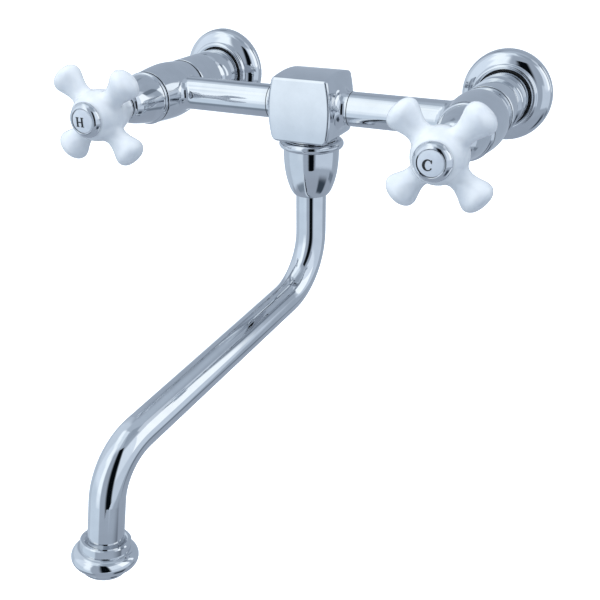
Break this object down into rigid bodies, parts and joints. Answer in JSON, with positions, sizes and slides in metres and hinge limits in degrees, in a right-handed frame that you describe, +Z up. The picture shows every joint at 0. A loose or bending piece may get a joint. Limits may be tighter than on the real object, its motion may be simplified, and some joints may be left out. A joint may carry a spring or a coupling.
{
  "type": "wall-mounted kitchen faucet",
  "caption": "Chrome wall-mounted bridge faucet with porcelain cross handles, a square mixing block and a swivelling bent tube spout that reaches far out over the sink.",
  "frame": {"origin": "on the finished wall, midway between the axes of the two inlets", "axes": "+X to the right seen from the front, +Y into the wall, +Z up"},
  "size_m": [0.2604, 0.2979, 0.2362],
  "materials": {
    "polished_chrome": "mirror-polished chrome plate on brass",
    "white_porcelain": "white glazed porcelain",
    "machined_brass": "turned brass, unplated",
    "black_rubber": "smooth moulded rubber",
    "fibre_washer": "pressed red fibre",
    "alumina_ceramic": "lapped alumina ceramic",
    "stainless_steel": "turned stainless steel",
    "acetal_plastic": "natural acetal, as moulded"
  },
  "bodies": {
    "fixed_frame": {"hot_wall_flange": "polished_chrome", "hot_flange_grip_ring": "black_rubber", "hot_inlet_coupling": "polished_chrome", "hot_union_nut": "polished_chrome", "hot_union_washer": "fibre_washer", "hot_valve_body": "polished_chrome", "hot_cartridge_shell": "machined_brass", "hot_shell_o_ring": "black_rubber", "hot_seat_seal": "black_rubber", "hot_fixed_disc": "alumina_ceramic", "hot_bonnet": "polished_chrome", "hot_bridge_tube": "polished_chrome", "cold_wall_flange": "polished_chrome", "cold_flange_grip_ring": "black_rubber", "cold_inlet_coupling": "polished_chrome", "cold_union_nut": "polished_chrome", "cold_union_washer": "fibre_washer", "cold_valve_body": "polished_chrome", "cold_cartridge_shell": "machined_brass", "cold_shell_o_ring": "black_rubber", "cold_seat_seal": "black_rubber", "cold_fixed_disc": "alumina_ceramic", "cold_bonnet": "polished_chrome", "cold_bridge_tube": "polished_chrome", "mixing_block": "polished_chrome", "spout_nut": "polished_chrome", "spout_glide_rings": "acetal_plastic"},
    "hot_handle": {"hot_moving_disc": "alumina_ceramic", "hot_stem": "machined_brass", "hot_stem_o_rings": "black_rubber", "hot_handle_cross": "white_porcelain", "hot_handle_insert": "polished_chrome", "hot_handle_screw": "stainless_steel", "hot_cap_ring": "polished_chrome", "hot_index_button": "white_porcelain"},
    "cold_handle": {"cold_moving_disc": "alumina_ceramic", "cold_stem": "machined_brass", "cold_stem_o_rings": "black_rubber", "cold_handle_cross": "white_porcelain", "cold_handle_insert": "polished_chrome", "cold_handle_screw": "stainless_steel", "cold_cap_ring": "polished_chrome", "cold_index_button": "white_porcelain"},
    "spout": {"spout_tail": "machined_brass", "spout_o_rings": "black_rubber", "spout_tube": "polished_chrome", "outlet_collar": "polished_chrome", "aerator_shell": "polished_chrome", "aerator_washer": "black_rubber", "aerator_screen": "stainless_steel", "aerator_insert": "acetal_plastic"}
  },
  "joints": [
    {"name": "hot_handle_turn", "type": "hinge", "parent": "fixed_frame", "child": "hot_handle", "pos_m": [-0.1016, -0.153, 0], "axis": [0, -1, 0], "range_deg": [0, 90]},
    {"name": "cold_handle_turn", "type": "hinge", "parent": "fixed_frame", "child": "cold_handle", "pos_m": [0.1016, -0.153, 0], "axis": [0, -1, 0], "range_deg": [-90, 0]},
    {"name": "spout_swivel", "type": "hinge", "parent": "fixed_frame", "child": "spout", "pos_m": [0, -0.0789, -0.0349], "axis": [0, 0, 1], "range_deg": [-81.77, 98.23]}
  ]
}
